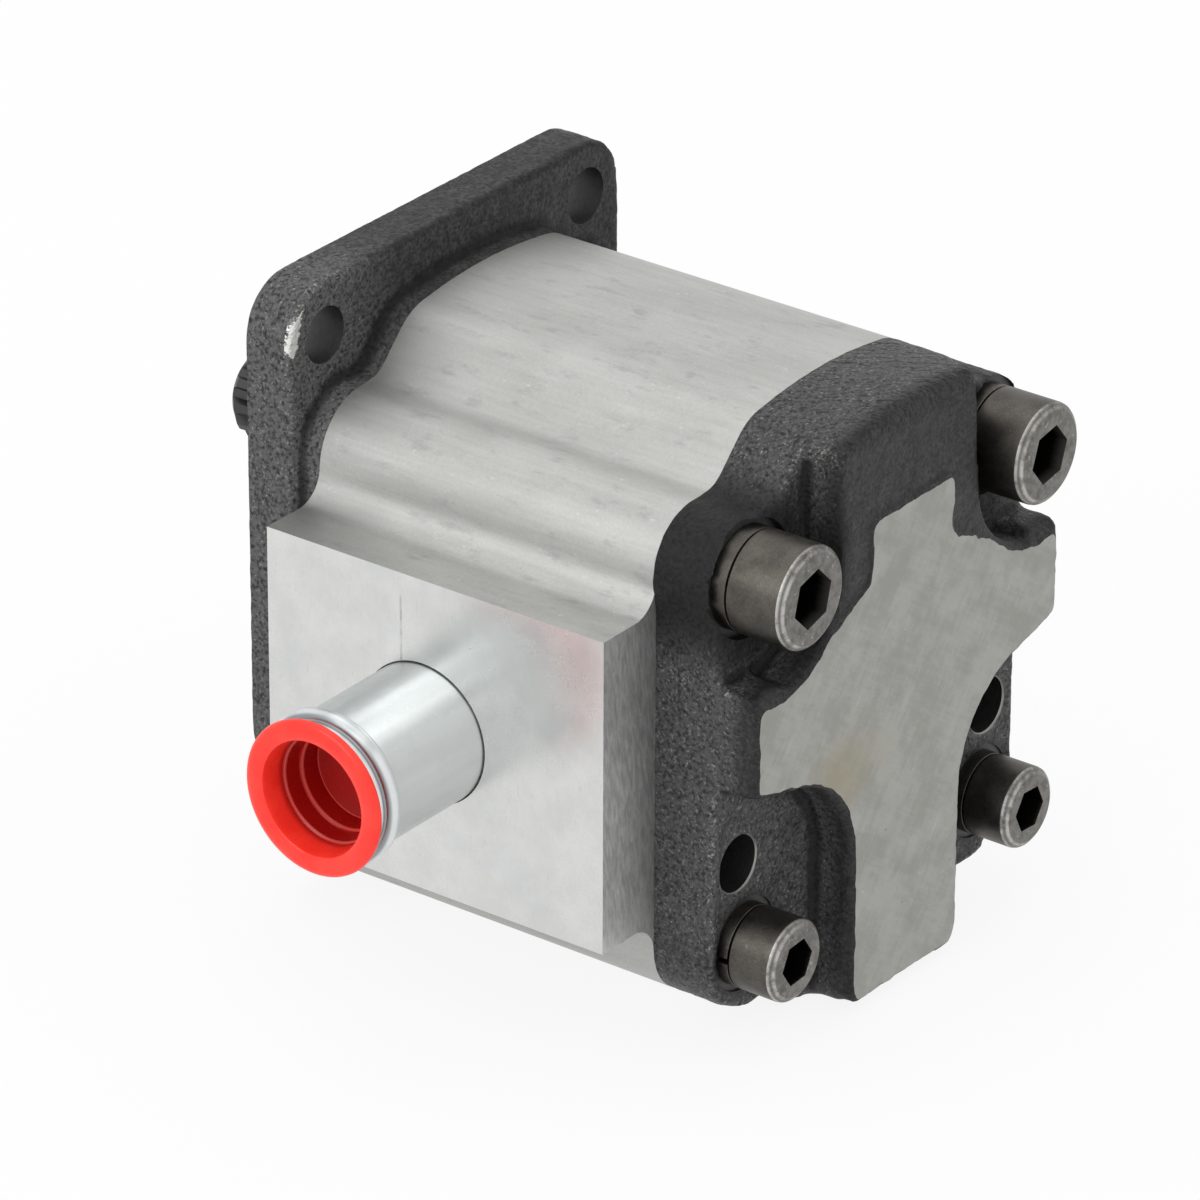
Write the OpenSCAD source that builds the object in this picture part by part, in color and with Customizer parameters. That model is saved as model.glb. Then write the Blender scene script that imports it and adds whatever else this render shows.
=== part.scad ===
// External gear pump with a splined shaft, a four-hole mounting flange and a hose stub.
// Y = 0 is the mounting face and the drive shaft lies on the Y axis. The shaft end points to
// +Y, the driven gear lies below the drive gear, and the suction port faces -X.

/* [Gears] */
// Distance between the two gear shafts
gear_gap = 33; // [32:0.25:34]
// Number of teeth on each gear
teeth = 12; // [12:1:14]
// Width of the gears
gear_w = 22; // [16:1:26]
// Pressure angle of the teeth in degrees
tooth_angle = 25; // [24:1:27]
// Diameter of the shaft journals
journal_d = 18; // [16:0.5:19]
// Wall of the bearing bushes
bush_wall = 1.5; // [1:0.25:2]

/* [Drive shaft end] */
// Length of the shaft end beyond the mounting face
shaft_out = 31.5; // [26:0.5:40]
// Length of the splined stretch
spline_l = 20; // [14:1:20]
// Outside diameter of the spline
spline_d = 15; // [13.5:0.25:15.5]
// Number of spline teeth
spline_teeth = 12; // [9:1:14]
// Depth of the spline teeth
spline_depth = 1.3; // [1:0.1:1.6]

/* [Body] */
// Length of the extruded body
body_l = 62; // [56:1:80]
// Width across the side walls
body_w = 77; // [76:0.5:80]
// Height of the upper ears over the drive shaft
upper_ear_h = 23.5; // [22.8:0.1:24.4]
// Depth of the lower ears under the driven shaft
lower_ear_h = 23.6; // [21:0.1:24]
// Radius of the ears' corners
ear_r = 10; // [7:0.2:10.2]
// Height of the top over the drive shaft
top_h = 33.2; // [32:0.1:35]
// Depth of the foot under the driven shaft
foot_h = 29.8; // [29:0.1:33]
// Radius of the crown on the top and the foot
crown_r = 90; // [70:5:200]
// Half the width of the crown
crown_half = 15.5; // [14:0.5:16]
// Radius of the shoulders beside the crown
shoulder_r = 9; // [8:0.5:10]
// Shift of the top towards the pressure side
arch_shift = 1.5; // [0:0.25:2]
// Radius of the hollow where a slope meets an ear
valley_r = 6; // [4:0.5:8]
// Width across the two port faces
port_w = 102; // [98:0.4:112]
// Height of the port blocks
port_h = 51; // [46:1:52]
// Radius of the hollow beside the port blocks
port_fillet = 5; // [3:0.5:5]
// Distance of the ports from the rear joint
port_from_rear = 33; // [29:0.5:34]
// Height of the ports over the middle between the gears
port_lift = 0.5; // [0:0.1:1]

/* [Screws] */
// Sideways distance of the cap screws from the middle
screw_x = 30; // [29.4:0.1:30.4]
// Height of the upper cap screws over the drive shaft
upper_screw_z = 14.2; // [13:0.1:15]
// Distance from the upper down to the lower cap screws
screw_drop = 60; // [59:0.2:61]
// Thread diameter of the upper cap screws
upper_screw_d = 10; // [9:0.5:10]
// Thread diameter of the lower cap screws
lower_screw_d = 8; // [7:0.5:8]
// Thickness of the upper lock washers
upper_washer_t = 2.5; // [2:0.1:3]
// Thickness of the lower lock washers
lower_washer_t = 2; // [1.5:0.1:2.5]
// Length of thread that holds in the flange
thread_l = 10.5; // [8:0.5:11]

/* [Flange] */
// Width and height of the square plate
flange_w = 81; // [80:0.5:86]
// Radius of the corners of the plate
flange_corner = 8.5; // [6:0.5:12]
// Thickness of the plate at its corners
flange_t = 8.2; // [8:0.1:10]
// Height of the raised land under the body
land_t = 3.8; // [3:0.1:6]
// Diameter of the mounting bolt circle
bolt_circle = 90; // [89:0.5:92]
// Diameter of the mounting bolt holes
bolt_hole_d = 9; // [8.4:0.1:9.4]
// Diameter of the spot faces round the upper bolt holes
spot_d = 17; // [15:0.5:17]
// Diameter of the pilot spigot
pilot_d = 50; // [44:1:54]
// Height of the pilot spigot
pilot_h = 6; // [5.5:0.5:8]

/* [Shaft seal] */
// Outside diameter of the shaft seal
seal_d = 30; // [28:1:32]
// Width of the shaft seal
seal_w = 7; // [6:0.5:8]
// Thickness of the circlip
clip_t = 1.2; // [1:0.1:1.5]

/* [Rear cover] */
// Thickness of the cover round its edge
cover_t = 10.8; // [10.2:0.2:13]
// Distance of the machined pad from the joint
pad_t = 18.2; // [16:0.2:22]
// Thickness left under the upper screw heads
upper_seat_t = 9.2; // [7:0.1:9.6]
// Thickness left under the lower screw heads
lower_seat_t = 9.9; // [8:0.1:10]
// Half width of the dome between the upper screws
dome_half = 17.5; // [15:0.5:18]
// Half width of the web below the arms
web_half = 13.9; // [12:0.1:15]
// Radius of the pockets round the upper screws
upper_pocket_r = 16; // [13.5:0.5:16.5]
// Radius of the pockets under the arms
lower_pocket_r = 17.5; // [16:0.5:18]
// Height of the lower pockets' centres over the lower cap screws
lower_pocket_lift = 9.6; // [9:0.1:10]
// Height of the machined pad's top edge over the drive shaft
pad_top = 9; // [7:0.5:11]
// Lean of the rough face above the pad in degrees
dome_lean = 3; // [1:0.5:6]
// Radius of the lower corners of the web
web_corner_r = 4; // [2:0.5:6]

/* [Suction tube] */
// Outside diameter of the tube
tube_d = 22.4; // [20:0.2:22.6]
// Wall of the tube
tube_wall = 1.5; // [1:0.25:1.5]
// Length of tube outside the port face
tube_out = 24.9; // [18:0.1:34]
// Depth of the tube in the body
tube_in = 12; // [9:0.5:12]
// Distance of the bead from the end of the tube
bead_back = 2.6; // [2.4:0.2:5]
// How far the bead stands out
bead_h = 1.2; // [0.8:0.1:1.6]
// Diameter of the passages to the gears
passage_d = 16; // [12:0.5:17]

/* [Transit plug] */
// Diameter of the plug's rim
plug_rim_d = 24.6; // [24:0.2:28]
// Thickness of the plug's rim
plug_rim_t = 1.5; // [1:0.1:2.5]
// Depth of each of the plug's three steps
plug_step = 3.2; // [2.5:0.1:4]
// Wall of the plug
plug_wall = 0.9; // [0.7:0.1:1.2]

/* [Pressure port] */
// Bore of the pressure port before it is threaded
pressure_d = 16.5; // [14:0.5:16.5]
// Depth of the threaded bore
pressure_depth = 14; // [10:0.5:14]

/* [Clearances] */
// Radial running clearance of the journals
run_gap = 0.04; // [0.02:0.01:0.08]
// Clearance between a gear and a block's face
side_gap = 0.05; // [0.03:0.01:0.1]
// Clearance between the tooth tips and the chamber
tip_gap = 0.15; // [0.1:0.01:0.2]
// Backlash between the teeth
backlash = 0.16; // [0.1:0.02:0.24]
// Small clearance of pieces that are pressed or laid in
seat_gap = 0.03; // [0.02:0.01:0.06]
// Radial clearance of the screws in their through holes
screw_gap = 0.5; // [0.3:0.05:0.6]

/* [Hidden] */
$fn = 64;
IRON = "#4a4a4b";
ALLOY = "#c6c7c5";
STEEL = "#a4a6a8";
BLACKED = "#57514c";
ZINC = "#ccd2d4";
BRONZE = "#b08a55";
RUBBER = "#262627";
NYLON = "#d9d4c4";
RED = "#f2382f";

// How far the shoulders stand out of the crown where they meet it
crown_step = 0.04;

// Places along the shaft
joint_y = -flange_t - land_t;
rear_y = joint_y - body_l;
pad_y = rear_y - pad_t;
cover_y = rear_y - cover_t;
port_y = rear_y + port_from_rear;
gear_mid_y = joint_y - body_l / 2;
gear_front_y = gear_mid_y + gear_w / 2;
gear_rear_y = gear_mid_y - gear_w / 2;
end_gap = 0.1;
relief_x = 3.2;
relief_w = 3;
relief_h = 8;
relief_depth = 1.5;
block_l = (body_l - gear_w) / 2 - side_gap - end_gap;

// Gears
tooth_module = gear_gap / teeth;
pitch_r = gear_gap / 2;
base_r = pitch_r * cos(tooth_angle);
tip_r = pitch_r + tooth_module;
root_r = pitch_r - 1.2 * tooth_module;
chamber_r = tip_r + tip_gap;
journal_r = journal_d / 2;
bush_r = journal_r + run_gap + bush_wall;

// Places in the plane of the flange
driven = [0, -gear_gap];
middle_z = -gear_gap / 2;
port_z = middle_z + port_lift;
half_w = body_w / 2;
half_port = port_w / 2;
upper_z = upper_screw_z;
lower_z = upper_screw_z - screw_drop;
port_top = middle_z + port_h / 2;
port_foot = middle_z - port_h / 2;
bolt_at = bolt_circle / 2 / sqrt(2);

// Cap screws
upper_head_r = 0.8 * upper_screw_d;
lower_head_r = 0.8125 * lower_screw_d;
head_chamfer = 0.6;
washer_gap = 0.15;

// Cast form of the cover
pocket_flare = 4;
pocket_rise = 2.5;
foot_ease = 0.9;
foot_cut = 4;

// Seals in the joint faces
face_seal_w = 2.4;
face_seal_t = 2;
face_seal_in = chamber_r + 2.2;
face_seal_out = face_seal_in + face_seal_w;

// Pressure seals on the blocks
zone_out = chamber_r - 2.2;
zone_mid = zone_out - 2.3;
zone_in = zone_mid - 1.6;
zone_depth = 2.8;
zone_cut_x = -6;

// Shaft seal and circlip in the flange
clip_y = pilot_h - 1.8;
seal_front_y = clip_y;
seal_rear_y = seal_front_y - seal_w;
clip_groove_r = seal_d / 2 + 0.8;
shaft_hole_r = journal_r + 0.6;
clip_band = 2;
clip_opening = 6;
clip_eye_r = 2.2;
clip_eye_hole_r = 0.9;
clip_eye_x = clip_opening / 2 + 1.4;
clip_eye_drop = 2.6;

// Dowels
dowel_d = 6;
dowel_l = 12;
dowel_x = face_seal_out + dowel_d / 2 + 2.6;

// Suction tube and plug
tube_r = tube_d / 2;
tube_bore_r = tube_r - tube_wall;
tube_end_x = -half_port - tube_out;
tube_seat_x = -half_port + tube_in;
plug_r = tube_bore_r - 0.15;

// Extrudes an outline drawn in X and Z along Y
module along_y(from, to) {
    translate([0, to, 0]) rotate([90, 0, 0]) linear_extrude(height = to - from) children();
}

// Round rod or drill along Y at a place [x, z]
module rod_y(r, from, to, at = [0, 0]) {
    translate([at[0], to, at[1]]) rotate([90, 0, 0]) cylinder(r = r, h = to - from);
}

// Turns a profile of [radius, y] about the Y axis at a place [x, z]
module turned_y(profile, at = [0, 0]) {
    translate([at[0], 0, at[1]]) rotate([-90, 0, 0]) rotate_extrude() polygon(profile);
}

// Turns a profile of [radius, x] about the ports' axis
module turned_x() {
    translate([0, port_y, port_z]) rotate([0, 90, 0]) rotate_extrude() children();
}

// Draws a piece on both sides of the middle
module both_sides() {
    children();
    mirror([1, 0, 0]) children();
}

// Fillet of radius f in the hollow at k, where a flat meets a slope of 45 degrees
module valley(k, f) {
    t = f * tan(22.5);
    difference() {
        polygon([k - [1, 1], k + [t, -1], k + [t, 0], k + t * [-cos(45), cos(45)]]);
        translate(k + [t, f]) circle(r = f);
    }
}

// Raised top over an ear's height, with round shoulders and slopes of 45 degrees
module arch_outline(ear, top) {
    crown_angle = asin(crown_half / crown_r);
    crown_middle = [0, top - crown_r];
    crown_end = crown_middle + crown_r * [sin(crown_angle), cos(crown_angle)];
    centre = crown_middle + (crown_r - shoulder_r + crown_step)
        * [sin(crown_angle), cos(crown_angle)];
    shoulder = centre + shoulder_r * [cos(45), cos(45)];
    foot = [shoulder[0] + shoulder[1] - ear, ear];
    intersection() {
        translate(crown_middle) circle(r = crown_r, $fn = 720);
        translate([-crown_end[0], 0]) square([2 * crown_end[0], top + 1]);
    }
    both_sides() {
        translate(centre) circle(r = shoulder_r);
        polygon([[0, ear - 1], [foot[0], ear - 1], foot, shoulder, [0, shoulder[1]]]);
        valley(foot, valley_r);
    }
}

// Outline shared by the body, the cover and the flange's land
module case_outline() {
    x = half_w - ear_r;
    translate([-half_w, ear_r - gear_gap - lower_ear_h])
        square([body_w, gear_gap + upper_ear_h + lower_ear_h - 2 * ear_r]);
    translate([-x, -gear_gap - lower_ear_h])
        square([2 * x, gear_gap + upper_ear_h + lower_ear_h]);
    both_sides() {
        translate([x, upper_ear_h - ear_r]) circle(r = ear_r);
        translate([x, ear_r - gear_gap - lower_ear_h]) circle(r = ear_r);
    }
    translate([arch_shift, 0]) arch_outline(upper_ear_h, top_h);
    translate(driven) mirror([0, 1]) arch_outline(lower_ear_h, foot_h);
}

// Outline of the body, with a port block on each side
module body_outline() {
    case_outline();
    translate([-half_port, port_foot]) square([port_w, port_h]);
    both_sides() {
        difference() {
            translate([half_w - 1, port_top - 1]) square(port_fillet + 1);
            translate([half_w + port_fillet, port_top + port_fillet]) circle(r = port_fillet);
        }
        difference() {
            translate([half_w - 1, port_foot - port_fillet]) square(port_fillet + 1);
            translate([half_w + port_fillet, port_foot - port_fillet]) circle(r = port_fillet);
        }
    }
}

// Two round pockets side by side, as the gears need them
module gear_eight(r) {
    circle(r = r, $fn = 96);
    translate(driven) circle(r = r, $fn = 96);
}

// Racetrack round both gears
module racetrack(r) {
    gear_eight(r);
    translate([-r, -gear_gap]) square([2 * r, gear_gap]);
}

// Strip in the form of a 3 on the pressure side of a block
module zone_strip(outer, inner) {
    difference() {
        gear_eight(outer);
        gear_eight(inner);
        translate([zone_cut_x - 2 * chamber_r, -gear_gap - chamber_r])
            square([2 * chamber_r, gear_gap + 2 * chamber_r]);
    }
}

// Through holes for the cap screws and the two lower mounting bolts
module through_holes(from, to) {
    both_sides() {
        rod_y(upper_screw_d / 2 + screw_gap, from, to, [screw_x, upper_z]);
        rod_y(lower_screw_d / 2 + screw_gap, from, to, [screw_x, lower_z]);
        rod_y(bolt_hole_d / 2, from, to, [bolt_at, -bolt_at]);
    }
}

// Holes for the two dowels at one joint face
module dowel_holes(from, to) {
    both_sides() rod_y(dowel_d / 2 + seat_gap, from, to, [dowel_x, middle_z]);
}

// Cast front flange with the pilot, the shaft seal's seat and the screws' threads
module mounting_flange() color(IRON) difference() {
    union() {
        along_y(-flange_t, 0) flange_outline();
        along_y(joint_y, -flange_t) case_outline();
        turned_y([[0, 0], [pilot_d / 2, 0], [pilot_d / 2, pilot_h - 1],
                  [pilot_d / 2 - 1, pilot_h], [0, pilot_h]], $fn = 96);
    }
    turned_y([[0, joint_y - 1], [shaft_hole_r + 0.8, joint_y - 1],
              [shaft_hole_r + 0.8, joint_y], [shaft_hole_r, joint_y + 0.8],
              [shaft_hole_r, seal_rear_y], [seal_d / 2 + seat_gap, seal_rear_y],
              [seal_d / 2 + seat_gap, clip_y], [clip_groove_r, clip_y],
              [clip_groove_r, clip_y + clip_t + seat_gap],
              [seal_d / 2 + seat_gap, clip_y + clip_t + seat_gap],
              [seal_d / 2 + 0.4, pilot_h + 1], [0, pilot_h + 1]]);
    both_sides() {
        for (z = [-bolt_at, bolt_at]) rod_y(bolt_hole_d / 2, joint_y - 1, 1, [bolt_at, z]);
        rod_y(spot_d / 2, joint_y - 1, 0.3 - flange_t, [bolt_at, bolt_at]);
        rod_y(upper_screw_d / 2 + 2 * seat_gap, joint_y - 1, 1, [screw_x, upper_z]);
        rod_y(lower_screw_d / 2 + 2 * seat_gap, joint_y - 1, 1, [screw_x, lower_z]);
    }
    dowel_holes(joint_y - 1, joint_y + dowel_l / 2 + 0.5);
    along_y(joint_y - 1, joint_y + face_seal_t) difference() {
        racetrack(face_seal_out + seat_gap);
        racetrack(face_seal_in - seat_gap);
    }
}

// Square plate with round corners, joined to the outline that covers the body
module flange_outline() {
    c = flange_w / 2 - flange_corner;
    translate([-flange_w / 2, -c]) square([flange_w, 2 * c]);
    translate([-c, -flange_w / 2]) square([2 * c, flange_w]);
    both_sides() for (z = [-c, c]) translate([c, z]) circle(r = flange_corner);
    case_outline();
}

// Extruded body with the gear chamber, the ports and the long through holes
module pump_body() color(ALLOY) difference() {
    along_y(rear_y, joint_y) body_outline();
    along_y(rear_y - 1, joint_y + 1) gear_eight(chamber_r);
    through_holes(rear_y - 1, joint_y + 1);
    dowel_holes(rear_y - 1, rear_y + dowel_l / 2 + 0.5);
    dowel_holes(joint_y - dowel_l / 2 - 0.5, joint_y + 1);
    turned_x() polygon([[0, -half_port - 1], [tube_r + 1.4, -half_port - 1],
                        [tube_r + seat_gap, -half_port + 0.4], [tube_r + seat_gap, tube_seat_x],
                        [passage_d / 2, tube_seat_x], [passage_d / 2, 0], [0, 0]]);
    turned_x() polygon([[0, 0], [passage_d / 2 - 2, 0],
                        [passage_d / 2 - 2, half_port - pressure_depth - 3],
                        [pressure_d / 2, half_port - pressure_depth],
                        [pressure_d / 2, half_port - 1], [pressure_d / 2 + 1, half_port],
                        [pressure_d / 2 + 1, half_port + 1], [0, half_port + 1]]);
}

// Outline of the thick middle of the cover, with the pockets left out
module boss_outline() difference() {
    pocket = [web_half + lower_pocket_r, lower_z + lower_pocket_lift];
    corner = [web_half - web_corner_r, web_corner_r - gear_gap - foot_h];
    case_outline();
    both_sides() {
        translate([dome_half + upper_pocket_r, upper_z]) circle(r = upper_pocket_r);
        translate([dome_half, upper_z]) square([half_w, top_h]);
        translate(pocket) circle(r = lower_pocket_r);
        polygon([pocket, pocket + [-pocket_flare, 0.97 * lower_pocket_r],
                 [half_w + 1, pocket[1] + lower_pocket_r + pocket_rise],
                 [half_w + 1, pocket[1]]]);
        translate([web_half, pocket[1] - foot_h]) square([half_w, foot_h]);
        difference() {
            translate(corner + [0, -web_corner_r - 1]) square(web_corner_r + 1);
            translate(corner) circle(r = web_corner_r);
        }
    }
}

// Cast rear cover with its machined pad and the seats of the screw heads
module rear_cover() color(IRON) difference() {
    union() {
        along_y(cover_y, rear_y) case_outline();
        along_y(pad_y, cover_y) boss_outline();
    }
    translate([-half_w, pad_y, pad_top]) rotate([-dome_lean, 0, 0]) translate([0, -pad_t, 0])
        cube([body_w, pad_t, top_h]);
    translate([-half_w, pad_y, foot_ease - gear_gap - foot_h]) rotate([45, 0, 0])
        translate([0, -foot_cut / 2, -foot_cut]) cube([body_w, foot_cut, foot_cut]);
    through_holes(pad_y - 1, rear_y + 1);
    both_sides() {
        rod_y(upper_head_r + 1.2, pad_y, rear_y - upper_seat_t, [screw_x, upper_z]);
        rod_y(lower_head_r + 1, pad_y, rear_y - lower_seat_t, [screw_x, lower_z]);
        rod_y(bolt_hole_d / 2 + 1.6, pad_y, cover_y + 0.2, [bolt_at, -bolt_at]);
    }
    dowel_holes(rear_y - dowel_l / 2 - 0.5, rear_y + 1);
    along_y(rear_y - face_seal_t, rear_y + 1) difference() {
        racetrack(face_seal_out + seat_gap);
        racetrack(face_seal_in - seat_gap);
    }
}

// Angle of an involute, in degrees, where it reaches radius r
function involute(r) = let (a = acos(base_r / r)) tan(a) * 180 / PI - a;

// Half the angle of a tooth at radius r
function tooth_half(r) = 90 / teeth + involute(pitch_r) - involute(r)
    - backlash / 4 / pitch_r * 180 / PI;

// Points of one flank from the root to the tip, on side s, of a tooth at angle a
function flank(a, s) = concat(
    [let (w = a + s * tooth_half(base_r)) root_r * [cos(w), sin(w)]],
    [for (k = [0:5]) let (r = base_r + (tip_r - base_r) * k / 5, w = a + s * tooth_half(r))
        r * [cos(w), sin(w)]]);

function backwards(list) = [for (k = [len(list) - 1:-1:0]) list[k]];

// Outline of a spur gear with one tooth at angle turn
module gear_outline(turn) {
    polygon([for (k = [0:teeth - 1]) let (a = turn + k * 360 / teeth)
        each concat(flank(a, -1), backwards(flank(a, 1)))]);
}

// Outline of the spline, with straight-sided teeth
module spline_outline() {
    step = 360 / spline_teeth;
    low = spline_d / 2 - spline_depth;
    polygon([for (k = [0:spline_teeth - 1], p = [[low, -0.3], [spline_d / 2, -0.17],
                                               [spline_d / 2, 0.17], [low, 0.3]])
        p[0] * [cos((k + p[1]) * step), sin((k + p[1]) * step)]]);
}

// Drive gear in one piece with its journals and the splined shaft end
module drive_gear_shaft() color(STEEL) union() {
    along_y(gear_rear_y, gear_front_y) gear_outline(-90);
    turned_y([[0, rear_y + 1], [journal_r - 1, rear_y + 1], [journal_r, rear_y + 2],
              [journal_r, gear_rear_y + 1], [0, gear_rear_y + 1]]);
    turned_y([[0, gear_front_y - 1], [journal_r, gear_front_y - 1],
              [journal_r, shaft_out - spline_l - 3], [spline_d / 2 - 0.2, shaft_out - spline_l - 1],
              [spline_d / 2 - spline_depth - 0.2, shaft_out - spline_l - 1],
              [spline_d / 2 - spline_depth - 0.2, shaft_out], [0, shaft_out]]);
    intersection() {
        along_y(shaft_out - spline_l - 1.5, shaft_out) spline_outline();
        turned_y([[0, shaft_out - spline_l - 2], [spline_d, shaft_out - spline_l - 2],
                  [spline_d / 2 + 0.1, shaft_out - spline_depth], [spline_d / 2 + 0.1, shaft_out - 1.5],
                  [spline_d / 2 - 1.4, shaft_out], [0, shaft_out]]);
    }
}

// Driven gear in one piece with its two journals
module driven_gear_shaft() color(STEEL) union() {
    translate([0, 0, -gear_gap]) along_y(gear_rear_y, gear_front_y)
        gear_outline(90 + 180 / teeth);
    turned_y([[0, rear_y + 1], [journal_r - 1, rear_y + 1], [journal_r, rear_y + 2],
              [journal_r, joint_y - 2], [journal_r - 1, joint_y - 1], [0, joint_y - 1]], driven);
}

// Bearing block for one side of the gears, drawn from its gear face at y = 0 towards -Y
module bearing_block() difference() {
    along_y(-block_l, 0) gear_eight(chamber_r - seat_gap);
    for (z = [0, -gear_gap]) rod_y(bush_r + seat_gap / 2, -block_l - 1, 1, [0, z]);
    along_y(-block_l - 1, -block_l + zone_depth)
        zone_strip(zone_out + seat_gap, zone_in - seat_gap);
    both_sides() translate([relief_x, -relief_depth, middle_z - relief_h / 2])
        cube([relief_w, relief_depth + 1, relief_h]);
}

module front_bearing_block() color(ALLOY)
    translate([0, gear_front_y + side_gap, 0]) mirror([0, 1, 0]) bearing_block();

module rear_bearing_block() color(ALLOY)
    translate([0, gear_rear_y - side_gap, 0]) bearing_block();

// Two plain bushes, pressed into one block
module bushes(from, to) color(BRONZE) for (z = [0, -gear_gap])
    turned_y([[journal_r + run_gap, from], [bush_r, from], [bush_r, to],
              [journal_r + run_gap, to]], [0, z]);

module front_bushes() bushes(gear_front_y + side_gap + 0.5, joint_y - end_gap - 0.5);
module rear_bushes() bushes(rear_y + end_gap + 0.5, gear_rear_y - side_gap - 0.5);

// Square-section seal round the gear chamber in one joint face
module body_seal(from, to) color(RUBBER) along_y(from, to) difference() {
    racetrack(face_seal_out);
    racetrack(face_seal_in);
}

module front_body_seal() body_seal(joint_y, joint_y + face_seal_t - seat_gap);
module rear_body_seal() body_seal(rear_y - face_seal_t + seat_gap, rear_y);

// Rubber pressure seals and the stiff strips inside them
module front_pressure_seal() color(RUBBER)
    along_y(joint_y - end_gap - zone_depth + seat_gap, joint_y - seat_gap)
        zone_strip(zone_out, zone_mid + seat_gap);

module rear_pressure_seal() color(RUBBER)
    along_y(rear_y + seat_gap, rear_y + end_gap + zone_depth - seat_gap)
        zone_strip(zone_out, zone_mid + seat_gap);

module front_backup_strips() color(NYLON)
    along_y(joint_y - end_gap - zone_depth + seat_gap, joint_y - seat_gap)
        zone_strip(zone_mid - seat_gap, zone_in);

module rear_backup_strips() color(NYLON)
    along_y(rear_y + seat_gap, rear_y + end_gap + zone_depth - seat_gap)
        zone_strip(zone_mid - seat_gap, zone_in);

// Lip seal, with the lip towards the gears
module shaft_seal() color(RUBBER)
    turned_y([[journal_r + run_gap, seal_rear_y + 1.8], [journal_r + 0.7, seal_rear_y + 0.6],
              [journal_r + 2.6, seal_rear_y + 0.6], [journal_r + 2.6, seal_rear_y + 1.4],
              [journal_r + 1.7, seal_rear_y + 1.4], [journal_r + 1.7, seal_rear_y + 2.8],
              [journal_r + 2.6, seal_rear_y + 2.8], [journal_r + 2.6, seal_front_y - 2],
              [seal_d / 2 - 1.4, seal_front_y - 2], [seal_d / 2 - 1.4, seal_rear_y + seat_gap],
              [seal_d / 2, seal_rear_y + seat_gap], [seal_d / 2, seal_front_y - seat_gap],
              [journal_r + 0.6, seal_front_y - seat_gap], [journal_r + 0.6, seal_front_y - 1],
              [journal_r + 1, seal_front_y - 2.2], [journal_r + 1, seal_rear_y + 3.2],
              [journal_r + run_gap, seal_rear_y + 2.1]]);

// Garter spring round the seal's lip
module seal_spring() color(STEEL)
    translate([0, seal_rear_y + 2.1, 0]) rotate([-90, 0, 0]) rotate_extrude()
        translate([journal_r + 2.4, 0]) circle(r = 0.6, $fn = 24);

// Internal circlip with its two eyes
module shaft_seal_circlip() color(STEEL) along_y(clip_y + seat_gap / 2, clip_y + clip_t) {
    difference() {
        circle(r = clip_groove_r - seat_gap);
        circle(r = seal_d / 2 - clip_band);
        translate([-clip_opening / 2, 0]) square([clip_opening, seal_d]);
    }
    both_sides() translate([clip_eye_x, seal_d / 2 - clip_eye_drop]) difference() {
        circle(r = clip_eye_r, $fn = 32);
        circle(r = clip_eye_hole_r, $fn = 24);
    }
}

// Two dowels across one joint
module dowels(y) color(STEEL) both_sides() turned_y(
    [[0, y - dowel_l / 2], [dowel_d / 2 - 0.6, y - dowel_l / 2],
     [dowel_d / 2, y - dowel_l / 2 + 0.6], [dowel_d / 2, y + dowel_l / 2 - 0.6],
     [dowel_d / 2 - 0.6, y + dowel_l / 2], [0, y + dowel_l / 2]], [dowel_x, middle_z]);

module front_dowels() dowels(joint_y);
module rear_dowels() dowels(rear_y);

// Pair of socket head cap screws with their heads' faces at seat_y and thread d
module cap_screws(d, head_r, seat_y, z) color(BLACKED) both_sides() difference() {
    turned_y([[0, seat_y - d], [head_r - head_chamfer, seat_y - d],
              [head_r, seat_y - d + head_chamfer], [head_r, seat_y],
              [d / 2, seat_y], [d / 2, joint_y + thread_l - 1],
              [d / 2 - 1, joint_y + thread_l], [0, joint_y + thread_l]], [screw_x, z]);
    translate([screw_x, seat_y - d / 2, z]) rotate([90, 30, 0])
        cylinder(r = 0.4 * d / cos(30), h = d, $fn = 6);
}

module upper_cap_screws()
    cap_screws(upper_screw_d, upper_head_r, rear_y - upper_seat_t - upper_washer_t, upper_z);
module lower_cap_screws()
    cap_screws(lower_screw_d, lower_head_r, rear_y - lower_seat_t - lower_washer_t, lower_z);

// Pair of split lock washers under the heads
module lock_washers(d, head_r, from, to, z) color(BLACKED) both_sides() difference() {
    translate([screw_x, 0, z]) along_y(from, to) difference() {
        circle(r = head_r);
        circle(r = d / 2 + washer_gap);
    }
    translate([screw_x - head_r - 1, (from + to) / 2, z]) rotate([25, 0, 0])
        cube([head_r, 2 * (to - from), 0.08 * d], center = true);
}

module upper_lock_washers() lock_washers(upper_screw_d, upper_head_r,
    rear_y - upper_seat_t - upper_washer_t, rear_y - upper_seat_t, upper_z);
module lower_lock_washers() lock_washers(lower_screw_d, lower_head_r,
    rear_y - lower_seat_t - lower_washer_t, rear_y - lower_seat_t, lower_z);

// Hose stub, pressed into the suction port, with a bead near its end
module suction_tube() color(ZINC) turned_x() {
    polygon([[tube_bore_r, tube_end_x], [tube_r - 0.5, tube_end_x],
             [tube_r, tube_end_x + 0.9], [tube_r, tube_seat_x - seat_gap],
             [tube_bore_r, tube_seat_x - seat_gap]]);
    translate([tube_r + bead_h - 1.4, tube_end_x + bead_back]) circle(r = 1.4, $fn = 32);
}

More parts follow.
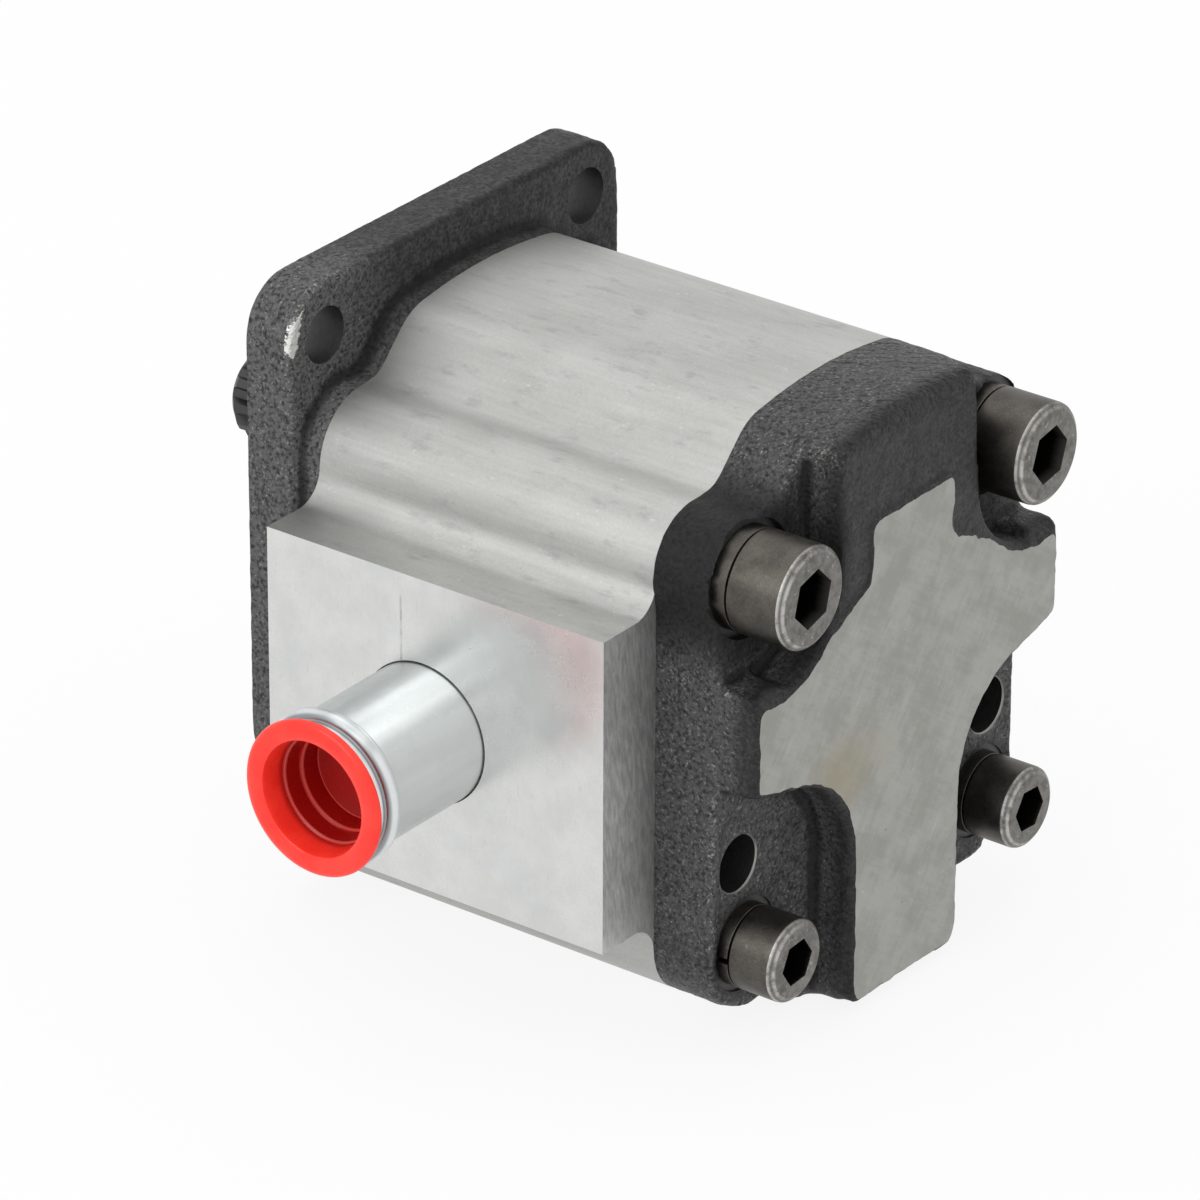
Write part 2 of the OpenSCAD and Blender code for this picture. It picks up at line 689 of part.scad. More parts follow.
// Stepped hollow plug that closes the tube while the pump is stored
module suction_plug() color(RED) turned_x() {
    x1 = tube_end_x - plug_rim_t;
    x2 = tube_end_x + plug_step;
    x3 = x2 + plug_step;
    x4 = x3 + plug_step;
    polygon([[plug_r - plug_wall + 0.5, x1], [plug_rim_d / 2 - 0.4, x1],
             [plug_rim_d / 2, x1 + 0.4], [plug_rim_d / 2, tube_end_x - seat_gap],
             [plug_r, tube_end_x - seat_gap], [plug_r, x2], [plug_r - 0.7, x2 + 0.3],
             [plug_r - 0.7, x3], [plug_r - 1.4, x3 + 0.3], [plug_r - 1.4, x4],
             [plug_r - 2.2, x4 + 1.2], [0, x4 + 1.2], [0, x4], [plug_r - plug_wall - 1.7, x4],
             [plug_r - plug_wall - 1.4, x3], [plug_r - plug_wall - 0.7, x3],
             [plug_r - plug_wall - 0.7, x2], [plug_r - plug_wall, x2],
             [plug_r - plug_wall, x1 + 0.8]]);
}

mounting_flange();
pump_body();
rear_cover();
drive_gear_shaft();
driven_gear_shaft();
front_bearing_block();
rear_bearing_block();
front_bushes();
rear_bushes();
front_body_seal();
rear_body_seal();
front_pressure_seal();
rear_pressure_seal();
front_backup_strips();
rear_backup_strips();
shaft_seal();
seal_spring();
shaft_seal_circlip();
front_dowels();
rear_dowels();
upper_cap_screws();
lower_cap_screws();
upper_lock_washers();
lower_lock_washers();
suction_tube();
suction_plug();
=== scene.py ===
import math

import bmesh
import bpy
from mathutils import Matrix, Vector, kdtree, noise


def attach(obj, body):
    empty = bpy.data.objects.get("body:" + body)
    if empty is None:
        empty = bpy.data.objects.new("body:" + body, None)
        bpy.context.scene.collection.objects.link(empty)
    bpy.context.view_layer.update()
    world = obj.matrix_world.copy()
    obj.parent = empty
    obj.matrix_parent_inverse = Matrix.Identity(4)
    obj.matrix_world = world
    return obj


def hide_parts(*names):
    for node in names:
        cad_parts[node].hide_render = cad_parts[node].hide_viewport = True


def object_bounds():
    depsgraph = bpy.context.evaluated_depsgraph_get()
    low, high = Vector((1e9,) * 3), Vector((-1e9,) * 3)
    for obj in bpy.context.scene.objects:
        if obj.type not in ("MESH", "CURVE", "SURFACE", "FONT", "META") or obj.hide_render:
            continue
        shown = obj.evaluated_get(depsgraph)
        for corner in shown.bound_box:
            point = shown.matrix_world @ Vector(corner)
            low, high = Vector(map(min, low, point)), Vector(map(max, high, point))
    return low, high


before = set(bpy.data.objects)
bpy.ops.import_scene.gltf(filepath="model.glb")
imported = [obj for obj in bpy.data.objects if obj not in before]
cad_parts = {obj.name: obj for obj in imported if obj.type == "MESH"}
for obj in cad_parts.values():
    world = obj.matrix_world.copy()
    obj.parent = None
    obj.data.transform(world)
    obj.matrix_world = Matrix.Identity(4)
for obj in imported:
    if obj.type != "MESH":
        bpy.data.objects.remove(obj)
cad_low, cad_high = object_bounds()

# The photograph's view: from the suction side, behind and above the pump, through a long lens.
# The place and the axes were fitted to holes, edges and screw heads of the real pump.
view_right = Vector((0.60279, -0.79789, 0.00326))
view_up = Vector((0.35675, 0.27317, 0.89337))
view_lens = bpy.data.cameras.new("photo_view")
view_lens.sensor_width = 36
view_lens.lens = 252.66
view_lens.clip_end = 20
photo_view = bpy.data.objects.new("photo_view", view_lens)
photo_view.matrix_world = Matrix.Translation((-0.90833, -0.7188, 0.5554)) @ Matrix(
    (view_right, view_up, view_right.cross(view_up))).transposed().to_4x4()
bpy.context.collection.objects.link(photo_view)
bpy.context.scene.camera = photo_view


# Pump body: a length of extruded aluminium, sawn off and faced at both ends. The port faces are
# milled flat, and the gear chamber, the ports and the long screw holes are bored into it.
class Reading:
    """An output in a finish's node tree. Sums and products of readings add their Math nodes."""

    def __init__(self, finish, socket):
        self.finish = finish
        self.socket = socket

    def __add__(self, other):
        return self.finish.maths("ADD", self, other)

    def __radd__(self, other):
        return self.finish.maths("ADD", other, self)

    def __sub__(self, other):
        return self.finish.maths("SUBTRACT", self, other)

    def __rsub__(self, other):
        return self.finish.maths("SUBTRACT", other, self)

    def __mul__(self, other):
        return self.finish.maths("MULTIPLY", self, other)

    def __rmul__(self, other):
        return self.finish.maths("MULTIPLY", other, self)

    def __truediv__(self, other):
        return self.finish.maths("DIVIDE", self, other)

    def __rtruediv__(self, other):
        return self.finish.maths("DIVIDE", other, self)

    def __pow__(self, other):
        return self.finish.maths("POWER", self, other)

    def __rpow__(self, other):
        return self.finish.maths("POWER", other, self)

    def __gt__(self, other):
        return self.finish.maths("GREATER_THAN", self, other)

    def __lt__(self, other):
        return self.finish.maths("LESS_THAN", self, other)

    def between(self, low, high):
        """0 below low and 1 above high, with a soft step between them."""
        return self.finish.node("ShaderNodeMapRange", {"interpolation_type": "SMOOTHSTEP"},
                                {"Value": self, "From Min": low, "From Max": high})


class Finish:
    """One surface finish, as a material with a Principled shader."""

    def __init__(self, name, **constants):
        self.material = bpy.data.materials.new(name)
        self.material.use_nodes = True
        self.shader = self.material.node_tree.nodes["Principled BSDF"]
        for socket, value in constants.items():
            self.shader.inputs[socket.replace("_", " ")].default_value = value
        place = self.node("ShaderNodeTexCoord", output="Object")
        self.mm = self.node("ShaderNodeVectorMath", {"operation": "SCALE"}, {0: place, "Scale": 1000})
        self.x, self.y, self.z = [self.node("ShaderNodeSeparateXYZ", values={0: self.mm}, output=k)
                                  for k in range(3)]

    def node(self, kind, settings=None, values=None, output=0):
        """Adds a node: its settings first, then the values or links of its sockets."""
        made = self.material.node_tree.nodes.new(kind)
        for setting, value in (settings or {}).items():
            setattr(made, setting, value)
        for socket, value in (values or {}).items():
            if isinstance(value, Reading):
                self.material.node_tree.links.new(value.socket, made.inputs[socket])
            else:
                made.inputs[socket].default_value = value
        return Reading(self, made.outputs[output])

    def maths(self, operation, *values):
        """One Math node, for what the operators of a reading don't cover."""
        return self.node("ShaderNodeMath", {"operation": operation}, dict(enumerate(values)))

    def grain(self, per_mm, detail=2.0, rough=0.5, stretch=(1, 1, 1), shift=(0, 0, 0), turn=(0, 0, 0)):
        """Noise from about 0 to 1, with per_mm features to a millimetre. It is turned first, then
        made finer along each axis whose stretch is over 1."""
        rotated = self.node("ShaderNodeMapping", {"vector_type": "POINT"}, {"Vector": self.mm, "Rotation": turn})
        place = self.node("ShaderNodeMapping", {"vector_type": "POINT"},
                          {"Vector": rotated, "Scale": stretch, "Location": shift})
        return self.node("ShaderNodeTexNoise", {"noise_dimensions": "3D"},
                         {"Vector": place, "Scale": per_mm, "Detail": detail, "Roughness": rough})

    def tint(self, share, low, high):
        """A colour between low and high, by a share from 0 to 1."""
        return self.node("ShaderNodeMix", {"data_type": "RGBA"},
                         {0: share, 6: self.rgba(low), 7: self.rgba(high)}, output=2)

    def rgba(self, colour):
        """A colour as a socket takes it."""
        return colour if isinstance(colour, Reading) else (*colour, 1)

    def relief(self, height, millimetres, under=None):
        """The surface's normal, with a relief of that many millimetres for a height from 0 to 1."""
        values = {"Height": height, "Distance": millimetres / 1000, "Strength": 1.0}
        if under:
            values["Normal"] = under
        return self.node("ShaderNodeBump", values=values)

    def feed(self, **links):
        """Links readings to the shader's sockets, and returns the material."""
        for socket, value in links.items():
            self.material.node_tree.links.new(value.socket, self.shader.inputs[socket.replace("_", " ")])
        return self.material


def joined(node):
    """A CAD node's mesh with its loose triangles joined and its flats dissolved."""
    bm = bmesh.new()
    bm.from_mesh(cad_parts[node].data)
    bmesh.ops.remove_doubles(bm, verts=bm.verts, dist=1e-6)
    bmesh.ops.dissolve_limit(bm, angle_limit=math.radians(0.3), verts=bm.verts, edges=bm.edges,
                             use_dissolve_boundaries=False)
    return bm


def finished(bm, name, body, node, materials, edge=None):
    """Makes the piece that stands for a CAD node, with smooth faces. Edges that are no fillets
    stay sharp, or are rounded by edge, in mm."""
    for face in bm.faces:
        face.smooth = True
    sharp = math.radians(32)
    for line in bm.edges:
        sides = line.link_faces
        line.smooth = (len(sides) == 2 and line.calc_face_angle(0) < sharp
                       and sides[0].material_index == sides[1].material_index)
    mesh = bpy.data.meshes.new(name)
    bm.to_mesh(mesh)
    bm.free()
    for material in materials:
        mesh.materials.append(material)
    piece = bpy.data.objects.new(name, mesh)
    bpy.context.collection.objects.link(piece)
    if edge:
        bevel = piece.modifiers.new("worn_edges", "BEVEL")
        bevel.width = edge / 1000
        bevel.segments = 2
        bevel.profile = 0.5
        bevel.limit_method = "ANGLE"
        bevel.angle_limit = sharp
        bevel.miter_outer = "MITER_ARC"
        bevel.harden_normals = True
    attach(piece, body)
    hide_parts(node)


def extruded_skin():
    """Satin aluminium as it leaves the die, with faint streaks along the shaft and some scuffs, and with
    painted shade near the flange.
    """
    skin = Finish("extruded_aluminium", Metallic=1.0, IOR=1.5)
    streaks = skin.grain(0.9, 4, 0.6, stretch=(1.3, 0.07, 1.3))
    clouds = skin.grain(0.10, 5, 0.62, stretch=(1, 0.45, 1))
    fine = skin.grain(2.4, 3, 0.6)
    scuffs = skin.grain(0.32, 5, 0.7, stretch=(1.4, 0.5, 1.4), shift=(31, 7, 3)).between(0.54, 0.70)
    flecks = skin.grain(0.8, 4, 0.7, stretch=(1, 0.8, 1), shift=(2, 17, 8)).between(0.62, 0.72)
    tone = streaks * 0.25 + clouds * 0.5 + fine * 0.25
    colour = skin.tint(tone.between(0.33, 0.67), (0.43, 0.43, 0.415), (0.54, 0.54, 0.525))
    colour = skin.tint(scuffs * 0.55, colour, (0.34, 0.34, 0.335))
    colour = skin.tint(flecks * 0.5, colour, (0.66, 0.66, 0.64))
    # Painted shade: the skin is darkened in patches near the flange.
    colour = skin.tint(skin.y.between(-30, -12) * clouds.between(0.35, 0.6) * 0.5, colour, (0.30, 0.30, 0.295))
    normal = skin.relief(fine, 0.015, skin.relief(streaks, 0.02))
    return skin.feed(Base_Color=colour, Roughness=0.40 + 0.2 * clouds, Normal=normal)


def milled_port():
    """A face milled flat and bright, with a faint line that the cutter left over the stub."""
    face = Finish("milled_port_face", Metallic=1.0, IOR=1.5)
    clouds = face.grain(0.13, 5, 0.6)
    fine = face.grain(3.2, 3, 0.6, stretch=(1, 1.8, 0.5))
    gap = face.maths("ABSOLUTE", face.y - (port_y + 4))
    line = gap.between(0.34, 0.06) * (face.x < 0) * (face.z > -6) * face.z.between(6, 4)
    line = line * (0.35 + 0.65 * face.grain(0.6, 3, 0.6).between(0.35, 0.6))
    marks = face.grain(1.4, 4, 0.7, stretch=(1, 1.8, 0.35), shift=(0, 0, 9)).between(0.58, 0.74)
    smears = face.grain(0.14, 3, 0.55, shift=(5, 3, 21)).between(0.46, 0.70)
    colour = face.tint((clouds * 0.7 + fine * 0.3).between(0.34, 0.66), (0.66, 0.665, 0.65), (0.74, 0.745, 0.73))
    colour = face.tint(smears * 0.4, colour, (0.60, 0.62, 0.63))
    colour = face.tint(line * 0.65 + marks * 0.2, colour, (0.34, 0.34, 0.33))
    return face.feed(Base_Color=colour, Roughness=0.21 + 0.11 * clouds, Normal=face.relief(fine, 0.006))


def milled_end():
    """The faced end of the extrusion, greyer, with upright cutter marks and painted light that pales its lower part.
    """
    end = Finish("milled_body_end", Metallic=1.0, IOR=1.5)
    strokes = end.grain(1.2, 5, 0.7, stretch=(1.5, 1, 0.3), turn=(0, 0.12, 0))
    clouds = end.grain(0.3, 4, 0.6)
    flecks = end.grain(1.3, 4, 0.7, stretch=(1.2, 1, 0.5), shift=(4, 4, 4)).between(0.60, 0.70)
    colour = end.tint(strokes.between(0.3, 0.7), (0.40, 0.40, 0.40), (0.62, 0.62, 0.61))
    colour = end.tint(clouds.between(0.5, 0.8) * 0.4, colour, (0.36, 0.36, 0.36))
    colour = end.tint(flecks * 0.6, colour, (0.85, 0.85, 0.84))
    # Painted light: the face is made paler, in patches, towards its bottom.
    colour = end.tint(end.z.between(-30, -56) * (0.3 + 0.7 * clouds.between(0.3, 0.6)), colour, (0.92, 0.92, 0.90))
    return end.feed(Base_Color=colour, Roughness=0.52 + 0.14 * strokes, Normal=end.relief(strokes, 0.03))


def tapped_port(pitch):
    """The wall of the pressure port, with the thread that takes the union. The thread's crests are
    painted light and its roots painted dark, as shade, besides its relief.
    """
    wall = Finish("tapped_port", Metallic=1.0, IOR=1.5)
    turn = wall.maths("ARCTAN2", wall.z - port_z, wall.y - port_y) / (2 * math.pi)
    winding = wall.x / pitch + turn
    crest = wall.maths("PINGPONG", winding, 0.5) * 2
    # Painted light and shade: the thread's crests are lighter and its roots darker.
    colour = wall.tint(crest, (0.24, 0.24, 0.235), (0.62, 0.62, 0.61))
    return wall.feed(Base_Color=colour, Roughness=0.3 + 0.1 * crest,
                     Normal=wall.relief(crest * (wall.x < port_face - 1.5), 0.5 * pitch))


port_face, port_y, port_z = 51.0, -41.0, -16.0
port_foot_x, port_reach = 36.0, 9.0
mouth_r, mouth_reach = 11.42, 12.4
body_skin = joined("pump_body")
for face in body_skin.faces:
    place = face.calc_center_median() * 1000
    if abs(face.normal.x) > 0.99 and abs(place.x) > port_face - 0.1:
        face.material_index = 1
    elif place.x > port_foot_x and math.hypot(place.y - port_y, place.z - port_z) < port_reach:
        face.material_index = 3
    elif abs(face.normal.y) > 0.99:
        face.material_index = 2
# The chamfer round the suction tube closes to a fine dark gap.
for vert in body_skin.verts:
    off = Vector((0, vert.co.y - port_y / 1000, vert.co.z - port_z / 1000))
    if vert.co.x < (0.1 - port_face) / 1000 and off.length < mouth_reach / 1000:
        vert.co -= off * (1 - mouth_r / 1000 / off.length)
finished(body_skin, "pump_body_extrusion", "housing", "pump_body",
         [extruded_skin(), milled_port(), milled_end(), tapped_port(1.5)], edge=0.3)


# Mounting flange and rear cover: grey iron sand castings with rounded edges and a grainy black
# skin. Joint faces, pad, pilot, seats and holes are machined after casting and show bare metal.
def rod(bm, radius, low, high, x=0.0, z=0.0):
    """Adds a round rod along Y, in mm."""
    bmesh.ops.create_cone(
        bm, cap_ends=True, segments=64, radius1=radius / 1000, radius2=radius / 1000,
        depth=(high - low) / 1000,
        matrix=Matrix.Translation((x / 1000, (low + high) / 2000, z / 1000)) @ Matrix.Rotation(math.pi / 2, 4, "X"))


def block(bm, low, high):
    """Adds a box between two corners, in mm."""
    size = Vector(high) - Vector(low)
    bmesh.ops.create_cube(bm, size=1, matrix=Matrix.Translation((Vector(low) + size / 2) / 1000)
                          @ Matrix.Diagonal((*(size / 1000), 1)))


def turned(bm, profile, x=0.0, z=0.0, sides=96):
    """Adds a piece turned about Y from a profile of (radius, y) in mm. It closes on itself,
    unless it starts and ends on the axis."""
    before = set(bm.verts)
    ring = [bm.verts.new(((x + r) / 1000, y / 1000, z / 1000)) for r, y in profile]
    ends = ring[1:] + ring[:1] if profile[0][0] > 0 else ring[1:]
    lines = [bm.edges.new(pair) for pair in zip(ring, ends)]
    bmesh.ops.spin(bm, geom=ring + lines, cent=(x / 1000, 0, z / 1000), axis=(0, 1, 0),
                   angle=2 * math.pi, steps=sides, use_merge=True)
    bmesh.ops.remove_doubles(bm, verts=[v for v in bm.verts if v not in before], dist=1e-7)
    bmesh.ops.recalc_face_normals(bm, faces=[face for face in bm.faces if face.verts[0] not in before])


def applied(bm, *modifiers):
    """Runs modifiers on the mesh, each given as its type and its settings."""
    work = bpy.data.objects.new("work", bpy.data.meshes.new("work"))
    bpy.context.collection.objects.link(work)
    bm.to_mesh(work.data)
    for kind, settings in modifiers:
        step = work.modifiers.new(kind, kind)
        for setting, value in settings.items():
            setattr(step, setting, value)
    bm.clear()
    bm.from_mesh(work.evaluated_get(bpy.context.evaluated_depsgraph_get()).to_mesh())
    bpy.data.meshes.remove(work.data)


class Cutters:
    """Tools that machine a blank. Each cut face gets its tool's material number."""

    def __init__(self):
        self.tools = []

    def add(self, material, shape, *sizes):
        """Adds a tool made by rod, block or turned."""
        bm = bmesh.new()
        shape(bm, *sizes)
        self.take(material, bm)

    def take(self, material, bm):
        """Adds a mesh as a tool, and frees it."""
        for face in bm.faces:
            face.material_index = material
        tool = bpy.data.objects.new("tool", bpy.data.meshes.new("tool"))
        bpy.context.collection.objects.link(tool)
        bm.to_mesh(tool.data)
        bm.free()
        self.tools.append(tool)

    def machine(self, bm):
        """Cuts every tool out of the blank, in turn."""
        applied(bm, *[("BOOLEAN", {"operation": "DIFFERENCE", "solver": "MANIFOLD", "object": tool})
                      for tool in self.tools])
        for tool in self.tools:
            bpy.data.meshes.remove(tool.data)


def stock(bm, side, face_y, thickness):
    """Moves the points of a flat face out along Y, as stock to machine off or as a tool's overrun."""
    for vert in bm.verts:
        if side * (vert.co.y * 1000 - face_y) > -0.1:
            vert.co.y += side * thickness / 1000


def cast(bm, grid, passes, sand):
    """Rounds a blank as sand casting does, and roughens it by that many millimetres. Returns
    the places and the sharpness of its ridges, where the finish paints glints and shade."""
    applied(bm, ("REMESH", {"mode": "VOXEL", "voxel_size": grid / 1000}),
            ("SMOOTH", {"factor": 0.5, "iterations": passes}))
    bm.normal_update()
    ridges = kdtree.KDTree(len(bm.verts))
    stand = []
    for number, vert in enumerate(bm.verts):
        near = [line.other_vert(vert).co for line in vert.link_edges]
        stand.append((vert.co - sum(near, Vector()) / len(near)).dot(vert.normal) * 1000 / grid ** 2)
        ridges.insert(vert.co, number)
    ridges.balance()
    for vert in bm.verts:
        place = vert.co * 1000
        push = 0.6 * noise.noise(place * 0.42) + 0.4 * noise.noise(place * 0.95)
        vert.co += vert.normal * push * sand / 1000
    return ridges, stand


def mark_ridges(bm, ridges, stand):
    """Stores the sharpness of the nearest ridge on each point, for the finish to read."""
    layer = bm.verts.layers.float.new("ridge")
    for vert in bm.verts:
        vert[layer] = stand[ridges.find(vert.co)[1]]


def sand_cast(name, tone, sheen, sandy, crescent=None, ripple=None, worn_and_glinting=None, shaded_pockets=()):
    """Black-grey iron with a sand grain, painted glints where it is sandy, painted shade in hollows, and a soft
    sheen.
    sandy: the axis, and where along it the sandy skin starts and is full.
    crescent: x, z, radius and width of a bare arc beside a hole, painted bright as a highlight. ripple: the heights
    between which the skin turns wavy. worn: place and reach of a patch of wear with more painted glints.
    pockets: x, z and reach of recesses that are painted dark as shade, with their glints dimmed."""
    iron = Finish(name, IOR=1.5, Specular_IOR_Level=sheen)
    axis, start, full = sandy
    rough_skin = {"x": iron.x, "y": iron.y}[axis].between(start, full)
    grain = iron.grain(1.5, 3, 0.6)
    coarse = iron.grain(0.35, 4, 0.6)
    curve = iron.node("ShaderNodeAttribute", {"attribute_name": "ridge"}, output=2)
    ridge = curve.between(0.03, 0.14)
    # Concave places (hollow) are painted dark below, as shade.
    hollow_shade = curve.between(-0.01, -0.10)
    sparks = iron.grain(1.9, 3, 0.7, shift=(5, 11, 2)) + 0.05 * ridge * rough_skin + 0.06 * (coarse - 0.5)
    sandy_skin_and_glints = rough_skin
    # The worn patch gets denser painted glints and a rougher grain.
    if worn_and_glinting:
        x, y, z, reach = worn_and_glinting
        spot = (((iron.x - x) ** 2 + (iron.y - y) ** 2 + (iron.z - z) ** 2) ** 0.5).between(reach, 0.2 * reach)
        sparks = sparks + 0.14 * spot
        sandy_skin_and_glints = iron.maths("MAXIMUM", rough_skin, spot)
    dark, light = [(shade * tone,) * 3 for shade in (0.017, 0.043)]
    colour = iron.tint(grain.between(0.34, 0.66), dark, light)
    colour = iron.tint(coarse.between(0.38, 0.64) * 0.5, colour, (0.018 * tone,) * 3)
    # The sandy skin gets lighter grains: its grain, and partly painted sparkle.
    colour = iron.tint(rough_skin * grain.between(0.3, 0.6) * 0.55, colour, (0.098 * tone,) * 3)
    # Painted shade: rounded edges away from the sandy skin are darkened.
    colour = iron.tint(ridge * (1 - sandy_skin_and_glints) * 0.5, colour, (0.010,) * 3)
    # Painted glints: pale specks, dense on the sandy skin and the worn patch.
    glints = sparks.between(0.53, 0.80) * (0.12 + 0.88 * sandy_skin_and_glints)
    # Painted shade: the recesses round the screw heads are darkened and their glints dimmed.
    for x, z, reach in shaded_pockets:
        off = (((iron.maths("ABSOLUTE", iron.x) - x) ** 2 + (iron.z - z) ** 2) ** 0.5) + 2 * (coarse - 0.5)
        hollow_shade = iron.maths("MAXIMUM", hollow_shade, off.between(reach, 0.55 * reach))
    glints = glints * (1 - hollow_shade * 0.7)
    colour = iron.tint(glints * 0.85, colour, (0.36, 0.355, 0.345))
    # Painted shade in concave places and recesses.
    colour = iron.tint(hollow_shade * 0.85, colour, (0.005 * tone,) * 3)
    bare = glints * 0.5
    if crescent:
        x, z, middle, width = crescent
        off = ((iron.x - x) ** 2 + (iron.z - z) ** 2) ** 0.5
        side = iron.maths("ARCTAN2", iron.z - z, x - iron.x)
        taper = side.between(-0.24, 0.06) * side.between(1.05, 0.32)
        ragged = iron.grain(0.9, 4, 0.75) - 0.5
        away = off - middle + ragged * 2.6
        # Painted highlight: the crescent is bare metal painted far brighter than milled iron, on one side of the
        # hole.
        bare_arc_highlight = (0.5 * width * taper - iron.maths("ABSOLUTE", away)).between(0.0, 0.3) * (iron.y < -7)
        colour = iron.tint(bare_arc_highlight, colour, (0.84, 0.84, 0.82))
        bare = iron.maths("MINIMUM", bare + bare_arc_highlight, 1.0)
    normal = iron.relief(grain * (0.35 + 0.65 * sandy_skin_and_glints), 0.16, iron.relief(coarse, 0.5))
    if ripple:
        waves = iron.grain(0.8, 2, 0.55, stretch=(0.35, 1.4, 1.0), turn=(0, 0, 0.92))
        normal = iron.relief(waves * iron.z.between(*ripple), 1.1, normal)
    return iron.feed(Base_Color=colour, Metallic=bare, Roughness=0.45 - 0.12 * bare, Normal=normal)


def milled_iron(name, stain=None):
    """Bare milled iron with fine crossing scratches, small spots and, in one place, a stain."""
    iron = Finish(name, Metallic=0.85, IOR=1.5)
    one_way = iron.grain(0.7, 4, 0.7, stretch=(0.25, 1, 1.8), turn=(0, 0.9, 0))
    other_way = iron.grain(0.7, 4, 0.7, stretch=(0.25, 1, 1.8), turn=(0, -0.6, 0), shift=(8, 0, 4))
    clouds = iron.grain(0.12, 4, 0.6)
    spots = iron.grain(0.55, 2, 0.5, shift=(3, 1, 7)).between(0.74, 0.79)
    share = (one_way + other_way) * 0.2 + clouds * 0.6
    colour = iron.tint(share.between(0.38, 0.62), (0.30, 0.30, 0.278), (0.39, 0.39, 0.366))
    scratches = (one_way + 0.3 * (clouds - 0.5)).between(0.66, 0.76)
    colour = iron.tint(scratches * 0.5, colour, (0.50, 0.50, 0.47))
    colour = iron.tint(spots * 0.6, colour, (0.55, 0.52, 0.44))
    pits = iron.grain(0.7, 2, 0.6, shift=(9, 4, 1)).between(0.72, 0.78)
    colour = iron.tint(pits * 0.5, colour, (0.19, 0.19, 0.17))
    if stain:
        x, z, reach = stain
        off = (((iron.x - x) * 0.6) ** 2 + (iron.z - z) ** 2) ** 0.5
        patch = (off + 11 * (iron.grain(0.16, 5, 0.7) - 0.5)).between(reach, 0)
        colour = iron.tint(patch * 0.5, colour, (0.33, 0.28, 0.17))
    return iron.feed(Base_Color=colour, Roughness=0.40 + 0.2 * clouds,
                     Normal=iron.relief(clouds, 0.05))


def bored_iron():
    """Iron inside drilled holes and on counterbored seats, dark with turning rings."""
    iron = Finish("bored_iron", Metallic=0.8, IOR=1.5)
    rings = iron.grain(3.0, 2, 0.6, stretch=(0.3, 1.5, 0.3))
    colour = iron.tint(rings, (0.035, 0.035, 0.035), (0.10, 0.10, 0.098))
    return iron.feed(Base_Color=colour, Roughness=0.42 + 0.1 * rings, Normal=iron.relief(rings, 0.02))


screw_x, upper_screw_z, lower_screw_z = 30.0, 14.2, -45.8
bolt_at, dowel_x, dowel_z = 31.82, 29.6, -16.5
dowel_r, bolt_r, chamber_r, driven_z = 3.03, 4.5, 24.6, -33.0
joint_y, rear_y, cover_y, pad_y = -12.0, -74.0, -84.8, -92.2
upper_seat_y, lower_seat_y = -83.2, -83.9
# Flat faces carry raw mm of stock until they are machined, by tools that reach past the casting.
raw, past = 3.0, 60
bore_finish = bored_iron()

cover = joined("rear_cover")
stock(cover, 1, rear_y, raw)
crest = [line for line in cover.edges if sum(face.normal.y < -0.9 for face in line.link_faces) == 1
         and min(vert.co.z for vert in line.verts) > 0.022 and max(vert.co.y for vert in line.verts) < -0.09]
bmesh.ops.bevel(cover, geom=crest, offset=0.0018, segments=3, profile=0.5, material=-1, affect="EDGES",
                clamp_overlap=True)

# The pad is cast a little proud, with a rounded rim that milling leaves dark.
pad = [face for face in cover.faces
       if face.normal.y < -0.999 and face.calc_center_median().y * 1000 < pad_y + 0.1]
for vert in {vert for face in pad for vert in face.verts}:
    vert.co.y += 0.0004
bmesh.ops.inset_region(cover, faces=pad, thickness=0.0013, depth=0.0007, use_even_offset=True, use_boundary=True)
block(cover, (-9.8, pad_y - 0.4, 7), (10.0, -86, 17.3))

# The blank is cast without its holes and its chamber, which are machined with the flat faces.
rod(cover, chamber_r, rear_y - 4, rear_y + raw)
rod(cover, chamber_r, rear_y - 4, rear_y + raw, 0, driven_z)
block(cover, (-chamber_r, rear_y - 4, driven_z), (chamber_r, rear_y + raw, 0))
cover_cutters = Cutters()
cover_cutters.add(1, block, (-past, rear_y, -80), (past, -60, past))
cover_cutters.add(1, block, (-past, -110, -80), (past, pad_y, 18))
for side in (-1, 1):
    rod(cover, 9.3, cover_y, rear_y + raw, side * screw_x, upper_screw_z)
    rod(cover, 7.6, cover_y, rear_y + raw, side * screw_x, lower_screw_z)
    rod(cover, 6.2, cover_y, rear_y + raw, side * bolt_at, -bolt_at)
    block(cover, (side * 34.8 - 3.7, -91, -5), (side * 34.8 + 3.7, -84, -0.2))
    rod(cover, 3.6, -81, rear_y + raw, side * dowel_x, dowel_z)
    for height, seat_y, seat_r, hole_r in ((upper_screw_z, upper_seat_y, 9.2, 5.5),
                                           (lower_screw_z, lower_seat_y, 7.5, 4.5)):
        cover_cutters.add(2, rod, seat_r, -110, seat_y, side * screw_x, height)
        cover_cutters.add(2, rod, hole_r, -100, -60, side * screw_x, height)
    cover_cutters.add(1, turned, [(0, -100), (4.75, -100), (4.75, -84.4), (4.7, -84.25), (4.4, -83.95),
                                  (0, -83.95)], side * bolt_at, -bolt_at)
    cover_cutters.add(2, rod, bolt_r, -100, -60, side * bolt_at, -bolt_at)
    cover_cutters.add(2, rod, dowel_r, -80.5, -60, side * dowel_x, dowel_z)
groove = joined("rear_body_seal")
stock(groove, 1, rear_y, 2)
cover_cutters.take(2, groove)

